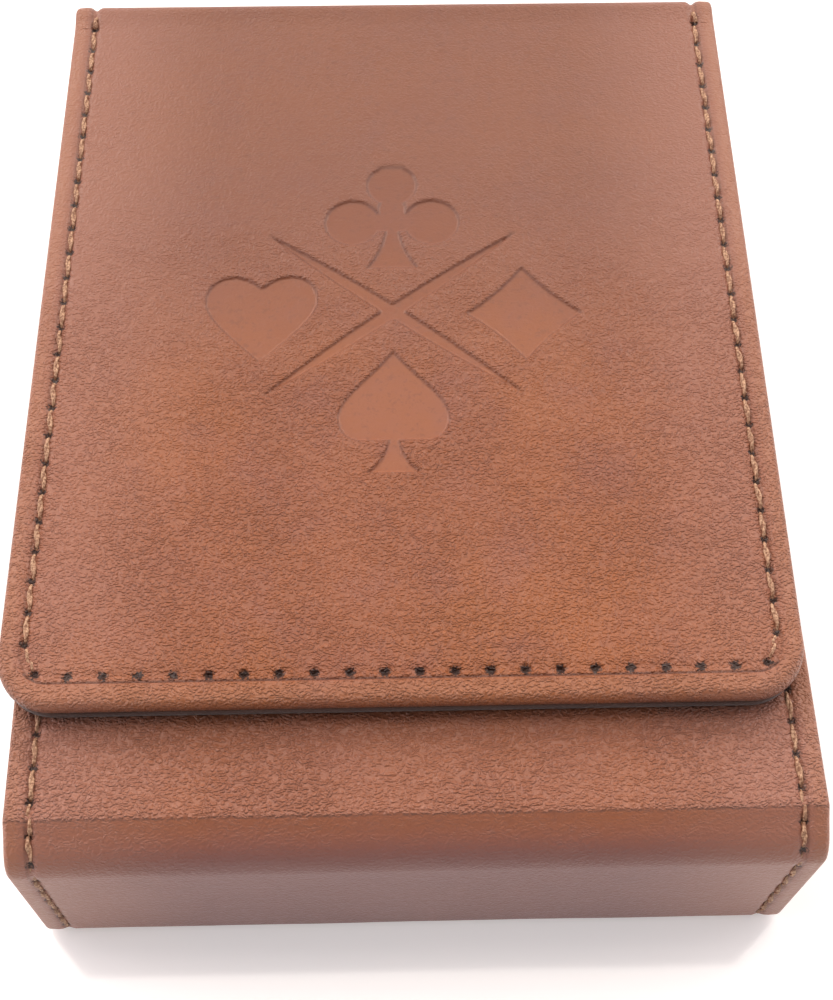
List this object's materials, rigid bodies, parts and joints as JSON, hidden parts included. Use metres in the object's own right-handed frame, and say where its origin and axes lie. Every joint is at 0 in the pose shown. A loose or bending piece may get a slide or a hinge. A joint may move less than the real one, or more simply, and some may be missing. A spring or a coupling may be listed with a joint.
{
  "type": "leather playing-card case",
  "caption": "Rigid leather-covered case for a deck of playing cards, with a hinged spine and a stitched flap lid held shut by hidden magnets.",
  "frame": {"origin": "centre of the back face's bounding rectangle, on the surface that the case lies on", "axes": "+X across the case, to the right seen from the bottom end; +Y from the bottom end to the hinge end; +Z from the back face to the flap's face"},
  "size_m": [0.074, 0.1, 0.028],
  "materials": {
    "hide": "brown pebble-grain leather, semi-matt",
    "side_hide": "darker brown pebble-grain leather, semi-matt",
    "suede": "dark brown suede lining",
    "greyboard": "raw greyboard",
    "thread": "waxed brown linen thread",
    "magnet": "nickel-plated neodymium disc"
  },
  "bodies": {
    "case": {"case_cover": "hide", "back_hinge_strip": "hide", "left_side_cover": "side_hide", "right_side_cover": "side_hide", "front_board": "greyboard", "bottom_board": "greyboard", "back_board": "greyboard", "left_side_board": "greyboard", "right_side_board": "greyboard", "front_lining": "suede", "bottom_lining": "suede", "back_lining": "suede", "left_side_lining": "suede", "right_side_lining": "suede", "case_thread_left": "thread", "case_thread_right": "thread", "front_magnet_left": "magnet", "front_magnet_right": "magnet"},
    "spine": {"spine_cover": "hide", "flap_hinge_strip": "hide", "spine_board": "greyboard", "spine_lining": "suede", "spine_thread_left": "thread", "spine_thread_right": "thread"},
    "flap": {"flap_cover": "hide", "flap_board": "greyboard", "flap_lining": "suede", "flap_thread": "thread", "flap_magnet_left": "magnet", "flap_magnet_right": "magnet"}
  },
  "joints": [
    {"name": "spine_hinge", "type": "hinge", "parent": "case", "child": "spine", "pos_m": [0, 0.04897, 0.00103], "axis": [-1, 0, 0], "range_deg": [0, 90]},
    {"name": "flap_hinge", "type": "hinge", "parent": "spine", "child": "flap", "pos_m": [0, 0.04897, 0.02697], "axis": [-1, 0, 0], "range_deg": [0, 90]}
  ]
}
